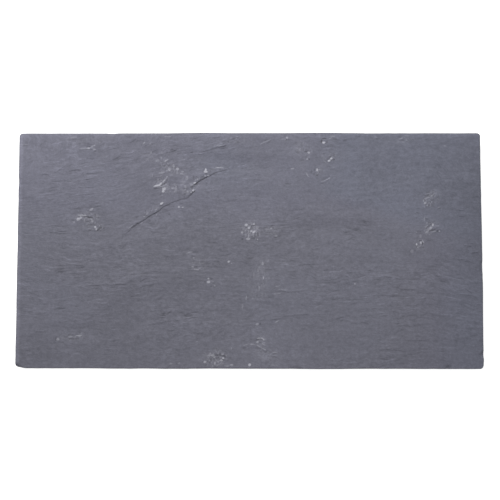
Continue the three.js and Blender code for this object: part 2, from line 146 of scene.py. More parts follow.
# Marks of the upper face: x, y, length, width, strength and, for turned ones, the turn in
# degrees. Bruises are where the slate is crushed pale.
BRUISES = [
    # At the ledge
    (-56.5, 104, 4.5, 2.2, 0.95, 90), (-56.5, 101.5, 4.5, 2.3, 0.95), (-57, 96, 2.5, 2, 0.6),
    (-53, 96.5, 3, 1.9, 0.8, 10), (-69.5, 90.5, 2.5, 2.3, 0.45), (-67, 91.5, 3.5, 1.8, 0.52, 60),
    (-64.5, 93, 2.5, 1.4, 0.42, 60), (-61, 96.5, 2, 1.5, 0.4), (-70.5, 87, 3.5, 1.9, 0.9, 20),
    (-72.5, 77, 3.5, 2.4, 0.85, 60), (-75, 74.5, 2.5, 1.8, 0.88, 20), (-79.5, 75, 3, 2.6, 0.6),
    (-75.5, 83.5, 2.5, 2.6, 0.35), (-38.5, 107, 9, 1.4, 0.6, -4), (-45, 105.5, 5, 1.1, 0.4, 15),
    (-113.5, 60, 5, 2.4, 0.95, 38), (-91, 55.5, 2.5, 2.3, 0.7), (-86, 55, 3, 2, 0.75),
    (-120.5, 52.5, 4.5, 2.2, 0.42, 30), (-132, 47, 3.5, 2.3, 0.42, 60), (-135.5, 43, 2, 1.8, 0.55),
    (-120, 45.5, 3, 1.5, 0.42, 45), (-139.5, 34.5, 5, 1.1, 0.38, 32), (-153, 29.5, 7.5, 1.3, 0.36, 38),
    # Above the ledge
    (-119, 116, 6, 2.8, 0.35), (-108, 116, 5.5, 2, 0.65, 35), (-114.5, 119.5, 4, 3.3, 0.3),
    (-113.5, 126, 5, 2.8, 0.3, 90), (-127.5, 126.5, 4, 1.8, 0.45, 90), (-113.5, 113.5, 2.5, 1.5, 0.35),
    (-106, 112.5, 3, 1.3, 0.4, -40), (-112.5, 108, 2, 1.9, 0.3), (-103.5, 104.5, 4, 3.6, 0.65),
    (-98, 109, 3.5, 3.2, 0.55), (-93, 105, 4, 3.2, 0.65), (-93.5, 101, 5, 2, 0.4, 90),
    (-86.5, 101.5, 4.5, 1.5, 0.4), (-87, 98.5, 5, 1.9, 0.5, -15), (-113.5, 100.5, 7, 2.6, 0.45, 8),
    (-106.5, 103, 4, 1.9, 0.4, 15), (-100.5, 97, 3, 1.9, 0.4), (-106.5, 94.5, 4.5, 2, 0.4, 70),
    (-119, 83.5, 8.5, 2.3, 0.9, 12), (-114.5, 86, 4.5, 2.2, 0.9, 45), (-111, 89, 4.5, 1.9, 0.7, 45),
    (-108, 92.5, 4, 1.5, 0.45, 50), (-118, 90, 4, 3.6, 0.4), (-125.5, 96, 4, 1.5, 0.35, 90),
    (-114.5, 96, 6.5, 1.3, 0.3, 30), (-110.5, 79, 4.5, 3.1, 0.85), (-111.5, 75.5, 3, 3.2, 0.95),
    (-112.5, 82.5, 5, 1.3, 0.5, 10), (-108, 81, 2.5, 1.8, 0.45), (-99, 79.5, 3, 2.6, 0.45),
    (-103.5, 80.5, 5, 1.3, 0.3, 90), (-95, 80.5, 5, 2.8, 0.4, 90), (-96.5, 75.5, 4.5, 1.5, 0.5, 25),
    (-102.5, 75, 6.5, 1.3, 0.4, -8), (-86.5, 86.5, 8.5, 4.6, 0.28, 50), (-80.5, 93.5, 5.5, 3.8, 0.4, 75),
    (-82.5, 82, 4.5, 2.6, 0.4, -30), (-86, 117.5, 4.5, 1.5, 0.35),
    # Left
    (-205, 26.5, 6.5, 1.5, 0.38, -5), (-227, 36, 4, 2.6, 0.36), (-193.5, 31.5, 2.5, 2, 0.42),
    (-195, 43.5, 6.5, 1.5, 0.4), (-204, 46, 5, 1.4, 0.38, -25), (-201, 42, 5, 1.4, 0.38, -65),
    (-221, 39.5, 4.5, 3.8, 0.8), (-218, 41.5, 3, 2.8, 0.72), (-215.5, 44.5, 12, 2.2, 0.8, -3),
    (-204.5, 52, 5.5, 2.4, 0.6, 33), (-203, 37.5, 4, 2.8, 0.55, 100), (-199, 29.5, 2.5, 2.8, 0.88),
    (-197.5, 26.5, 3, 1.8, 0.78, 75),
    # Centre
    (-3.5, 32, 4.5, 3.2, 0.75, 20), (0, 28.5, 3.5, 3.1, 0.85), (2, 31, 3, 1.5, 0.5, 50),
    (6.5, 33, 3, 2, 0.9, -20), (10.5, 28.5, 4.5, 3.2, 0.5), (3, 24, 3, 2, 1), (6.5, 23.5, 4.5, 2.2, 0.9, 40),
    (5, 20, 5.5, 1.5, 0.45, -80), (-1, 24.5, 5, 1.5, 0.55, -65), (-0.5, 18.5, 5, 1.7, 0.55, 88),
    (-9, 22, 3, 2.8, 0.7), (-5, 24.5, 4, 1.1, 0.35, 25), (-1, 14, 5, 3.3, 0.7), (11, 13.5, 2.5, 2, 0.6, 90),
    (8, 13.5, 1.5, 2, 0.4), (10.5, 10.5, 3, 1.3, 0.4), (28.5, 27.5, 2.5, 2, 0.55),
    (23.5, 26, 7.5, 1.1, 0.35, 6), (34.5, 18, 3.5, 2.9, 0.4), (9.5, 22, 3, 1.5, 0.55, 75),
    # Right
    (244.5, 55, 3, 1.4, 0.4), (231, 67.5, 9, 1.4, 0.55, 15), (235.5, 70, 3, 2, 0.5, 35),
    (237.5, 71.5, 4.5, 1.6, 0.48, 50), (233.5, 73.5, 7.5, 1.3, 0.42, 20), (238, 75.5, 2.5, 1.8, 0.4),
    (226.5, 66.5, 2.5, 1.8, 0.5), (225, 63.5, 3.5, 1.8, 0.45, 90), (227, 60.5, 3.5, 2.9, 0.7, 45),
    (230, 57, 2.5, 1.8, 0.45), (226, 55.5, 2, 1.8, 0.35), (235.5, 62, 2.5, 1.5, 0.55, 90),
    (226, 40, 6.5, 1.5, 0.45, 90), (228.5, 42, 4, 1.3, 0.4), (229, 34.5, 2.5, 2, 0.35),
    (236.5, 32.5, 3, 2.3, 0.88, 90), (234, 28, 5, 2.9, 0.68, 45), (229.5, 24, 6.5, 2.2, 0.55, 47),
    (228.5, 30, 5, 1.3, 0.5, 50), (238, 23.5, 6.5, 1.1, 0.5, 15), (245, 24, 2, 2, 0.6),
    (242, 31, 6.5, 1.3, 0.4, -10), (215.5, 7, 2, 2.6, 1), (216.5, 3, 2, 1.9, 0.6), (221, 9, 2.5, 3.1, 0.85),
    (223.5, 11, 5, 1.3, 0.65, -60), (217.5, 11, 2.5, 1.7, 0.4, 90), (220.5, 17, 5, 3.1, 0.35, 90),
    (209.5, -2, 4, 3.8, 0.4), (215.5, 22.5, 2, 1.8, 0.35),
    # Lower part
    (14.5, -114, 7.5, 1.8, 0.72), (18.5, -115.5, 3, 2, 0.85, -60), (11, -118.5, 3, 1.8, 0.77),
    (18.5, -121.5, 5, 1.3, 0.62, -30), (-3.5, -122, 7.5, 1.1, 0.47, 15), (4.5, -121.5, 7.5, 1.3, 0.62, -5),
    (12, -123.5, 6.5, 1.3, 0.62, -28), (19, -127.5, 7.5, 1.3, 0.57, -27), (25, -131.5, 5, 1.1, 0.52, -45),
    (27, -137, 6.5, 1.1, 0.47, 90), (33, -131.5, 7.5, 1.3, 0.52), (33, -136, 7.5, 1.1, 0.47),
    (-45.5, -136.5, 6.5, 3.3, 0.67, -40), (-33, -139, 3, 2.3, 1.), (-35, -142, 3.5, 2.6, 0.77),
    (-56, -144, 4, 3.3, 0.72), (-43.5, -146.5, 5, 2, 0.62, 90), (-50, -135.5, 4, 2.6, 0.52),
    (-33.5, -134.5, 2.5, 2, 0.57), (1, -147.5, 3.5, 3.3, 1.), (-22, -148, 4, 1.9, 0.57),
    (-26.5, -149, 4, 1.3, 0.47), (-22.5, -126.5, 4, 1.5, 0.47, 90), (-66.5, -118, 2, 1.7, 0.52),
    (-46.5, -150, 4.5, 2.6, 0.45, 90), (-29, -149, 5, 2, 0.45), (-39.5, -148, 5, 2, 0.4, 30),
    (-49.5, -133, 3, 2.3, 0.5), (-99.5, -146.5, 4, 2.6, 0.36), (-89.5, -146, 4, 2.6, 0.36),
    # Top
    (-215, 132, 11, 2, 0.45, 2), (-203.5, 135, 7.5, 2.2, 0.5, 22), (49, 146, 3, 2.3, 0.65, 60),
    (46.5, 143.5, 2, 2, 0.4), (96.5, 140, 3.5, 2.6, 1), (97, 143.5, 4.5, 1.1, 0.4),
    (105.5, 145.5, 6.5, 1.5, 0.4, 35), (66, 130.5, 5, 1.8, 0.45, 90), (77, 126.5, 3, 2, 0.85),
    (75, 118, 2.5, 2, 0.65), (77, 120.5, 4.5, 1.1, 0.45), (103.5, 116, 3.5, 2.3, 1, 20),
    (106.5, 119, 3, 2.8, 1), (109, 107.5, 3, 1.1, 0.4), (56, 105.5, 5.5, 1.9, 0.5),
    (88, 104, 4, 2.3, 0.9, 95), (88, 98.5, 3, 1.5, 0.4, 30), (75, 98, 7, 1.5, 0.45, -65),
    (98.5, 90.5, 13, 1.5, 0.38, 22), (103.5, 93, 2.5, 2.3, 0.4), (-229.5, 146.5, 11.5, 2, 0.42, 6),
    (-209, 132.5, 3.5, 2.4, 0.64), (-292.5, 137.5, 10, 1.5, 0.4), (-137, 139, 4, 1.8, 0.5, 45),
    (-129, 138, 2, 2, 0.4), (-107, 147.5, 7.5, 1.5, 0.42), (-38, 136, 7.5, 1.5, 0.42, 5),
    (-16, 147.5, 5, 1.5, 0.4, 10), (20.5, 140.5, 13, 1.8, 0.36, 25), (43, 144, 6.5, 1.4, 0.38, 20),
    (108, 148, 7.5, 2, 0.4), (164.5, 147, 5, 1.5, 0.38), (197, 145, 5, 1.8, 0.45, 20),
    (204, 143, 2.5, 1.8, 0.42), (205, 148.5, 5, 1.7, 0.4), (253.5, 135, 5, 1.8, 0.36),
    # Middle
    (-77, -3.5, 9, 1.5, 0.43, 15), (-71.5, -10.5, 2.5, 2, 0.48), (-72.5, -22, 3.5, 1.8, 0.57),
    (-68.5, -25.5, 6.5, 1.8, 0.48, -8), (-63, -23.5, 3.5, 1.3, 0.35, 30), (-26, -15.5, 3, 2.8, 0.74),
    (-22.5, -17.5, 2, 1.7, 0.39), (-52, -37.5, 2.5, 2.3, 0.78), (-52, -41.5, 4.5, 3.1, 0.74),
    (-46.5, -41, 2.5, 1.5, 0.35), (-44, -46.5, 2.5, 2.3, 0.48), (17.5, -18, 4, 2.6, 0.57, 60),
    (11.5, -26.5, 4, 2.8, 0.39, 70), (6, -32.5, 7.5, 2, 0.35, 90), (18.5, -36.5, 3.5, 1.8, 0.7, 90),
    (13, -49.5, 7.5, 1.8, 0.43, 90), (-3.5, -62, 7, 1.4, 0.52, 80), (-8.5, -73, 7.5, 1.8, 0.35, 90),
    (24.5, -14.5, 4, 1.7, 0.35, 90), (35.5, -47.5, 7.5, 1.3, 0.35, 15), (43, -51.5, 13, 1.3, 0.35),
    (37, -56.5, 10, 1.3, 0.43, 8), (10.5, -96, 3.5, 3.1, 0.57), (35.5, -92.5, 6.5, 1.5, 0.48, 35),
    (136, -44, 3, 2.6, 0.52), (-245, -115.5, 4, 3.2, 0.6), (-229.5, -112, 7, 1.4, 0.58),
    (-224, -111.5, 5, 1.1, 0.39, 5), (-218.5, -110.5, 7.5, 1.8, 0.72, 3), (-215.5, -108, 2, 1.3, 0.39, 80),
    (-201.5, 131, 4, 2.2, 0.5, -10),
]
BRUISE_RISE = 0.22

# Broken ground round the bruises
ROUGH_PATCHES = [
    (-208, 38, 36, 22, 1.0, -25), (-111, 80, 18, 18, 0.8), (-96, 80, 16, 14, 0.6),
    (-113, 90, 28, 12, 0.6, 33), (-104, 107, 36, 16, 0.65, -35), (-84, 95, 18, 10, 0.4, 60),
    (-128, 120, 30, 14, 0.35, -20), (-76, 80, 34, 14, 0.7, 35), (-46, 104, 28, 9, 0.45, 12),
    (-125, 52, 50, 8, 0.4, 33), (4, 25, 28, 26, 1.0), (30, 24, 22, 16, 0.5), (235, 66, 24, 20, 0.8, 35),
    (233, 29, 26, 16, 0.8, 45), (219, 8, 18, 14, 0.7, 30), (-42, -140, 44, 24, 0.9, 10),
    (16, -119, 22, 14, 0.7, -10), (25, -137, 40, 22, 0.5, -30), (102, 120, 22, 22, 0.5, 45),
    (92, 104, 12, 12, 0.5), (70, 130, 30, 24, 0.4), (-68, -18, 34, 26, 0.4, -20), (14, -40, 26, 66, 0.4, -10),
    (-225, -112, 38, 12, 0.5, 6), (-207, 143, 72, 12, 0.35, 3), (-18, 143, 30, 14, 0.4, 15),
    (203, 143, 34, 12, 0.35),
]
ROUGH_HEIGHT = 0.22

# How far in a mark or a patch is at full strength, and how fast it fades towards its edge
MARK_EDGE = {"full": 2.3, "fade": 1.6}
PATCH_EDGE = {"full": 1.3, "fade": 1}

# Pits and cracks, sunk into the relief and darkened with painted shade
PITS = [
    # At the ledge
    (-56, 99, 2.5, 1.8, 0.6), (-59, 101.5, 2, 1.7, 0.4), (-68.5, 95, 2, 1.8, 0.42), (-61, 94.5, 2, 1.5, 0.4),
    (-71.5, 91.5, 2, 1.8, 0.38), (-69.5, 85, 4, 1.5, 0.8), (-75, 81, 2.5, 2, 0.7, 90),
    (-70, 81, 2.5, 2, 0.55), (-84, 79.5, 2, 1.8, 0.6), (-84, 68.5, 2, 1.7, 0.6),
    (-113.5, 57, 4, 1.3, 0.55, 10), (-134, 50, 3, 1.9, 0.42, 90), (-127, 52.5, 2, 1.5, 0.45),
    (-135.5, 44.5, 2, 1.5, 0.6), (-133, 44, 2, 1.4, 0.5), (-145.5, 41.5, 2, 1.5, 0.45),
    (-118, 45, 2, 1.5, 0.4), (-128.5, 37.5, 2.5, 2.6, 0.38), (-103.5, 45.5, 3, 1.5, 0.45),
    # Left
    (-205.5, 41.5, 7, 2, 0.95, -4), (-210.5, 43, 5, 1.3, 0.5), (-199, 44.5, 5, 1.3, 0.6, -62),
    (-193.5, 27, 8.5, 2.4, 1, 36), (-188, 28, 2, 1.8, 0.9), (-192.5, 24.5, 2, 1.4, 0.6),
    (-223, 53.5, 6.5, 1.1, 0.45), (-218.5, 52.5, 2, 1.8, 0.4), (-205, 56.5, 4.5, 1.3, 0.45),
    (-211, 38, 5, 2.6, 0.4), (-228, 38, 4, 1.1, 0.55), (-206, 31.5, 6.5, 1.1, 0.55), (-206, 25, 4, 1.1, 0.6),
    # Centre
    (3.5, 28.5, 2.5, 2.6, 0.6), (11, 19.5, 5, 1.7, 0.75, 90), (5, 14, 5.5, 1.7, 0.65),
    (-8.5, 13.5, 2.5, 1.9, 0.65), (-6.5, 19.5, 4, 1.5, 0.4, 80), (18, 23, 2.5, 1.4, 0.5),
    (18, 11, 2, 1.8, 0.45), (33.5, 16, 4, 1.4, 0.5, -10), (31.5, 20, 2, 1.5, 0.45), (29.5, 31, 2, 1.5, 0.5),
    (46.5, 37.5, 5, 1.3, 0.45), (7.5, 31, 2, 1.5, 0.45), (1, 20.5, 3, 1.5, 0.4, 90),
    # Above the ledge
    (-109.5, 109, 3, 1.8, 0.55, 10), (-106, 109.5, 3, 1.3, 0.5, -40), (-113.5, 115, 2, 1.5, 0.45),
    (-115, 110, 1.5, 1.7, 0.4), (-106.5, 120.5, 2, 1.5, 0.45), (-111.5, 112.5, 4, 1.1, 0.4, 35),
    (-96, 106.5, 3, 2.3, 0.65, 90), (-110.5, 85.5, 7.5, 1.7, 0.8, 35), (-106.5, 91.5, 5, 1.7, 0.5, 90),
    (-120.5, 79.5, 7.5, 1.4, 0.7, 3), (-115, 80.5, 3, 1.4, 0.6, 20), (-114, 78.5, 4, 1.3, 0.45, 90),
    (-114.5, 72, 2, 2, 0.45), (-121, 91, 4, 1.3, 0.4, 20), (-101.5, 81.5, 3, 1.5, 0.4, 90),
    (-74, 80.5, 5, 1.8, 0.65, 90), (-72.5, 94, 5, 2, 0.5, 90), (-82, 75.5, 2, 1.7, 0.5),
    (-83.5, 72, 2, 1.9, 0.5), (-78, 76.5, 1.5, 1.5, 0.5), (-91, 128, 10, 1.3, 0.4, 12),
    (-75, 127, 3, 1.3, 0.5), (-77, 119, 9, 1.3, 0.4, 20), (-73.5, 108, 7.5, 1.8, 0.4, 30),
    (-66.5, 93, 1.5, 1.7, 0.5), (-55, 86.5, 1.5, 1.7, 0.5),
    # Right
    (230, 70.5, 6.5, 1.3, 0.55, 8), (230.5, 74.5, 6.5, 1.3, 0.45), (244.5, 66, 2.5, 1.9, 0.4, 90),
    (235.5, 64, 2, 1.5, 0.65), (235.5, 57.5, 4, 1.8, 0.45, 90), (232, 57.5, 2.5, 2.3, 0.55),
    (227, 64, 2, 1.8, 0.55), (228, 58.5, 2, 1.3, 0.5), (218, 53.5, 5, 1.1, 0.4), (217.5, 47.5, 5, 1.3, 0.4),
    (215.5, 41, 2.5, 1.5, 0.5), (229, 39.5, 6.5, 1.3, 0.45, -12), (245.5, 53.5, 3, 1.3, 0.5),
    (233, 34.5, 4.5, 1.3, 0.65), (224, 34.5, 2.5, 1.3, 0.5), (229.5, 29.5, 5, 1.3, 0.55, 50),
    (235.5, 25, 9, 1.7, 0.75, 20), (242.5, 24, 3, 1.5, 0.75), (218.5, 24, 9, 1.1, 0.45),
    (223, 8, 4, 1.5, 0.95, 90), (215.5, 3.5, 2, 1.9, 0.8), (224, 2.5, 4, 1.3, 0.45, 90),
    (217.5, 5, 2.5, 1.1, 0.5), (220, 11.5, 1.5, 1.5, 0.5), (231.5, 12, 5, 1.3, 0.4),
    (213.5, -1, 2.5, 2, 0.45),
    # Lower part
    (-5, -125.5, 6.5, 1.1, 0.4, 15), (32, -134, 7.5, 1.1, 0.4), (-37, -134.5, 4, 2, 0.65, 90),
    (-41, -136, 2.5, 1.9, 0.6), (-30.5, -138.5, 2.5, 1.3, 0.7, 90), (-42, -140.5, 4.5, 1.7, 0.6, 35),
    (-39, -139, 2, 1.8, 0.6), (-31.5, -135.5, 2, 1.5, 0.5), (-230, -109.5, 5.5, 1.7, 0.65),
    (-225.5, -115, 11.5, 1.8, 0.7), (-248, -115, 4, 2, 0.45, 90), (-239.5, -119.5, 4, 1.5, 0.45),
    (-215.5, -112.5, 2, 1.4, 0.5), (-217.5, -107, 2.5, 1.3, 0.4), (-55.5, -148.5, 4, 1.7, 0.42, 40),
    (-53, -143.5, 4, 1.4, 0.42, 40),
    # Top
    (-200.5, 128.5, 2.5, 1.5, 0.6), (97, 145, 6, 1.5, 0.75), (94, 141.5, 3.5, 1.8, 0.85, 90),
    (101, 140.5, 3.5, 1.5, 0.65, 90), (99, 138.5, 2.5, 1.3, 0.65), (48, 143, 2.5, 1.5, 0.5, 40),
    (73.5, 128, 5.5, 1.3, 0.8), (63, 126.5, 3, 2.3, 0.5, -25), (70, 130, 2.5, 1.5, 0.45, 90),
    (110, 117.5, 2.5, 2.3, 0.8), (110, 123, 4, 1.3, 0.55, 90), (105.5, 121, 2, 1.5, 0.55),
    (106.5, 116, 2, 1.5, 0.55), (78, 118, 2, 2, 0.65), (69.5, 116.5, 4.5, 1.8, 0.45),
    (80.5, 101.5, 5, 1.5, 0.45, 90), (84.5, 104, 4, 1.3, 0.5, 90), (91, 101.5, 4, 1.3, 0.5, 90),
    (88, 97, 2.5, 1.8, 0.8), (84, 98.5, 2.5, 1.5, 0.45, 90), (96, 86.5, 10, 1.3, 0.45, 15),
    (50, 85.5, 9, 1.1, 0.45), (-226.5, 143.5, 11.5, 1.5, 0.35, 5), (-208.5, 130.5, 7.5, 1.4, 0.5),
    (-20, 145, 4, 2.8, 0.5), (-14.5, 146, 3, 2.3, 0.45), (-15.5, 140, 4, 1.8, 0.4),
    (-34, 134, 6.5, 1.5, 0.5, 5), (21.5, 142.5, 5, 1.5, 0.4, 25), (24.5, 139, 5, 1.8, 0.4, 30),
    (111.5, 144.5, 5, 2.3, 0.42), (124, 142.5, 5, 2.3, 0.4), (141, 147.5, 7.5, 1.8, 0.35),
    (167, 144.5, 7.5, 1.5, 0.35), (199.5, 142.5, 2.5, 2, 0.45), (195.5, 147, 4, 1.5, 0.4),
    # Middle
    (-77.5, -85, 11.5, 3.1, 0.45, 5), (-67, -80.5, 6.5, 1.3, 0.4, 15), (-42, -16, 6.5, 1.3, 0.4),
    (-56.5, -42, 4, 2, 0.4, 90), (-48, -37.5, 2, 1.9, 0.45), (-45.5, -44, 2.5, 1.3, 0.55),
    (-49, -47.5, 2, 1.3, 0.4), (11.5, -40.5, 1.5, 1.7, 0.45), (16.5, -43.5, 1.5, 1.7, 0.45),
    (14, -46, 1.5, 1.7, 0.45), (9.5, -44, 1.5, 1.7, 0.45), (35.5, -33.5, 6.5, 1.1, 0.4, 20),
    (37, -39, 7.5, 1.3, 0.4), (41, -54, 13, 1.1, 0.4), (14.5, -95, 2.5, 1.9, 0.65, 90),
]
PIT_DEPTH = 0.3

# Seams, where the edge of a thin layer shows as a line: x, y, length, turn and drop. The drop
# is towards the seam's lower side, or its upper side where it is negative.
# The seam lines and the ground above them are also painted with shade and highlights
SEAMS = [
    (-265, 97.5, 9, 0, 0.7), (-245, 105, 23, 33, 0.5), (-217, 138.5, 21, 2, 0.5), (-208, 133, 14, 0, -0.6),
    (-46, 131.5, 37, 17, 0.6), (-30, 140, 26, 24, 0.4), (100.5, 91.5, 12, 32, -0.6), (108, -28, 27, 5, -0.5),
    (152.5, -33.5, 30, 17, -0.5), (183.5, -36, 21, -10, 0.7), (204, -51, 21, 0, 0.45),
    (281.5, 4.5, 11, -9, 0.6), (290, -3.5, 10, 0, 0.8), (281, -15.5, 11, -5, 0.5), (271, -13, 9, 0, 0.4),
    (251, -23.5, 11, -38, -0.6), (280.5, -53, 13, -38, 0.7), (291, -42.5, 10, 0, 0.5), (274, 43, 10, 0, 0.5),
    (59, -54, 32, 2, 0.5), (61.5, -84, 37, 6, 0.4), (89.5, -73, 12, 27, -0.6), (116, -87, 11, 14, 0.7),
    (184.5, -129, 37, -4, 0.45), (210, -116.5, 27, 0, 0.5), (-233, -20, 38, 0, 0.3),
    (-219, -30.5, 25, 0, 0.35), (-183, -45.5, 60, 3, 0.6), (-198, -65.5, 25, 12, -0.5),
    (-95, -91, 65, 9, 0.4), (-268, -106, 14, 5, 0.5),
]

# Soft patches that are paler or darker than the rest: x, y, length, width and change of shade.
# Some are the slate's own tone. Others, such as the paler upper left corner and the darker right
# end, are painted light and shade where the lighting falls off.
TONES_AND_PAINTED_LIGHT = [
    (-286, 128, 75, 80, 0.18), (-35, 127, 90, 50, -0.07), (46, 132, 60, 40, -0.06), (-138, 87, 75, 45, -0.06),
    (-76, 40, 60, 35, -0.07), (-88.5, 84.5, 9, 9, 0.10), (-84.5, 89.5, 8, 9, 0.12), (-81.5, 93.5, 8, 8, 0.12),
    (-200, 41, 45, 35, -0.08), (-124, -6, 85, 55, -0.08), (-60, -30, 110, 50, -0.05),
    (-240, -30, 110, 55, -0.04), (22, 84, 90, 45, -0.05), (5, -125, 150, 65, 0.10),
    (-258, -123, 65, 45, -0.06), (293, 55, 40, 190, -0.10), (211, 56, 60, 50, 0.08),
    (292, -125, 45, 60, -0.07),
]

# Chips off the upper arris: place on the outline, length along it and depth
ARRIS_CHIPS = [
    (300, -134, 9, 2.6), (300, -22, 16, 1.8), (255, -152.5, 8, 2.4), (88, 152.5, 6, 2.6),
    (-178, 152.5, 14, 1.8), (-300, 88, 12, 1.8), (-298, -151, 9, 2.6), (60, -152.5, 12, 1.6),
]

# Linear colours and looks
SLATE = (0.131, 0.131, 0.1665, 1)
BLUE_SLATE = (0.127, 0.132, 0.170, 1)
WARM_SLATE = (0.131, 0.131, 0.1625, 1)
# Painted shade of the upper arris, and the darker colour of the cut sides
EDGE_AND_ARRIS_SHADE_SLATE = (0.100, 0.102, 0.110, 1)
CRUSHED_SLATE = (0.42, 0.42, 0.47, 1)
# Painted shade in pits, broken ground and the ledge's crack
HOLLOW_SHADE_SLATE = (0.065, 0.065, 0.080, 1)
SLATE_SPECULAR = 0.35
BUMP = {"strength": 0.6, "distance": 0.0006}
FLOOR_COLOUR = (0.85, 0.85, 0.85, 1)
FLOOR_ROUGHNESS = 0.9
FLOOR_GLOW = 0.9

# Floor, camera and lights, in metres and degrees
FLOOR_HALF = 6
FLOOR_GAP = 0.0002
CAMERA_PLACE = (0.0246, -0.1385, 1.5446)
CAMERA_TURN = (5.214, 0.876, 0.103)
CAMERA_LENS = 85
KEY_LIGHT = {"place": (-0.18, 0.67, 0.82), "size": 0.5, "power": 9.7}
WORLD_STRENGTH = 0.45


# Noise. The factors mix a lattice point's column, row and seed into 32 bits.
COLUMN_FACTOR = 374761393
ROW_FACTOR = 668265263
SEED_FACTOR = 974634777
LAST_FACTOR = 1274126177
ALL_BITS = 0xFFFFFFFF


def lattice_value(column, row, seed):
    """A fixed value from -1 to 1 for each point of the lattice."""
    h = column.astype(np.int64) * COLUMN_FACTOR + row.astype(np.int64) * ROW_FACTOR
    h = (h + seed * SEED_FACTOR) & ALL_BITS
    h = ((h ^ (h >> 13)) * LAST_FACTOR) & ALL_BITS
    return (h ^ (h >> 16)) / (ALL_BITS / 2) - 1


def ease(t):
    """A smooth step from 0 to 1."""
    t = np.clip(t, 0, 1)
    return t * t * t * (t * (6 * t - 15) + 10)


def mix(a, b, t):
    """From a to b as t goes from 0 to 1."""
    return a + (b - a) * t


def noise(x, y, seed):
    """Smooth noise from -1 to 1 whose lattice has a spacing of 1."""
    x, y = np.broadcast_arrays(np.asarray(x, float), np.asarray(y, float))
    column, row = np.floor(x), np.floor(y)
    s, t = ease(x - column), ease(y - row)
    low = mix(lattice_value(column, row, seed), lattice_value(column + 1, row, seed), s)
    high = mix(lattice_value(column, row + 1, seed), lattice_value(column + 1, row + 1, seed), s)
    return mix(low, high, t)


def layered_noise(x, y, seed, octaves=3):
    """Noise with finer and weaker noise on it."""
    total = sum(noise(x * 2**i, y * 2**i, seed + 50 * i) / 2**i for i in range(octaves))
    return total / sum(0.5**i for i in range(octaves))


def band(value, middle, reach):
    """1 at the middle, fading out over the reach each way."""
    return np.exp(-(((value - middle) / reach) ** 2))


def spot(x, y, mid_x, mid_y, reach_x, reach_y):
    """1 at the middle, fading out over the reach along each axis."""
    return np.exp(-(((x - mid_x) / reach_x) ** 2) - ((y - mid_y) / reach_y) ** 2)


def turned(x, y, mid_x, mid_y, turn):
    """Coordinates along and across a mark that is turned by that many degrees."""
    angle = math.radians(turn)
    dx, dy = x - mid_x, y - mid_y
    return dx * math.cos(angle) + dy * math.sin(angle), dy * math.cos(angle) - dx * math.sin(angle)


def mark_radius(x, y, mark, margin=0):
    """How far each point is from a mark's middle, as a share of the way to its edge."""
    mid_x, mid_y, length, width, _, turn = (*mark, 0)[:6]
    along, across = turned(x, y, mid_x, mid_y, turn)
    return np.hypot(along / (length / 2 + margin), across / (width / 2 + margin))


def mark_strength(x, y, marks, wobble, full, fade):
    """How strong a list's ragged marks are at each point, from 0 to 1."""
    strength = np.zeros(x.shape)
    for mark in marks:
        radius = mark_radius(x, y, mark) + wobble
        strength = np.maximum(strength, mark[4] * ease(full - fade * radius))
    return strength


# Relief of the upper face, in mm

def terraces(value, sharpness):
    """Flat treads with short risers between them, as the layers of slate part."""
    tread = np.floor(value)
    return tread + ease((value - tread - 0.5) * sharpness + 0.5)


def grain_bend(x, y):
    """How far the split's grain bends off level."""
    rise = 16 * band(y, *RISE_BAND) * np.tanh((x - RISE_X) / 90)
    left_rise = 0.2 * band(y, *LEFT_BAND) * np.minimum(x - LEFT_X, 0)
    dip = -(0.1 + 0.3 * band(y, *DIP_BAND)) * np.maximum(x - DIP_X, 0)
    return rise + left_rise + dip + 8 * layered_noise(x / 105, y / 50, 25)


def grain_place(x, y):
    """Wavering coordinates along and across the split's grain."""
    along = x + 3 * noise(x / 14, y / 9, 27)
    return along, y - grain_bend(x, y) + 1.8 * noise(x / 11, y / 7, 28)


def waves(x, y, form, bend=0):
    """Noise of a form's lengths along X and Y."""
    return noise(x / form["along_x"], y / form["along_y"] + bend, form["seed"])


def broad_relief(x, y):
    """The swells, terraces and grain that the part has too."""
    bend = noise(x / 120, y / 80, TERRACE["seed"] + 100)
    layer = TERRACE["steps"] * waves(x, y, TERRACE, bend)
    return (
        SWELL["height"] * waves(x, y, SWELL)
        + TERRACE["step"] * terraces(layer, TERRACE["sharpness"])
        + GRAIN["height"] * waves(x, y, GRAIN, bend)
    )


def grain_strength(x, y):
    """How strong the patchy grain is."""
    strength = 0.75 + 0.9 * layered_noise(x / 55, y / 35, 26)
    return np.clip(strength + 0.4 * spot(x, y, *STRONG_GRAIN), 0.25, 1.6)


def streak_strength(x, y):
    """How plain the long thin streaks are."""
    strength = 0.4 + layered_noise(x / 48, y / 26, 54)
    for place in STREAKED:
        strength = strength + spot(x, y, *place)
    return np.clip(strength, 0, 1.3)


def fine_relief(x, y):
    """The ragged flakes of the split."""
    along, level = grain_place(x, y)
    relief = np.zeros(x.shape)
    for height, length_x, length_y, turn, seed in FLAKES:
        flake_x, flake_y = turned(along, level, 0, 0, turn)
        relief += height * np.tanh(2.6 * noise(flake_x / length_x, flake_y / length_y, seed))
    return grain_strength(x, y) * relief


def riser_relief(x, y):
    """Here and there, the longer edge of a layer: a short drop towards -Y from a thin lip."""
    level = y - grain_bend(x, y) + 1.2 * noise(x / 9, y / 6, 29)
    layer = level / RISERS["period"] + 1.3 * noise(x / 48, y / 16, RISERS["seed"])
    present = 2.5 * noise(x / RISERS["length"], level / 7, RISERS["seed"] + 1) - 0.7
    return RISERS["height"] * ease(present) * np.exp(-4 * (layer - np.floor(layer)))


def lump_relief(x, y):
    """Low rounded lumps."""
    return LUMPS["height"] * layered_noise(x / LUMPS["length"], y / LUMPS["length"], LUMPS["seed"])


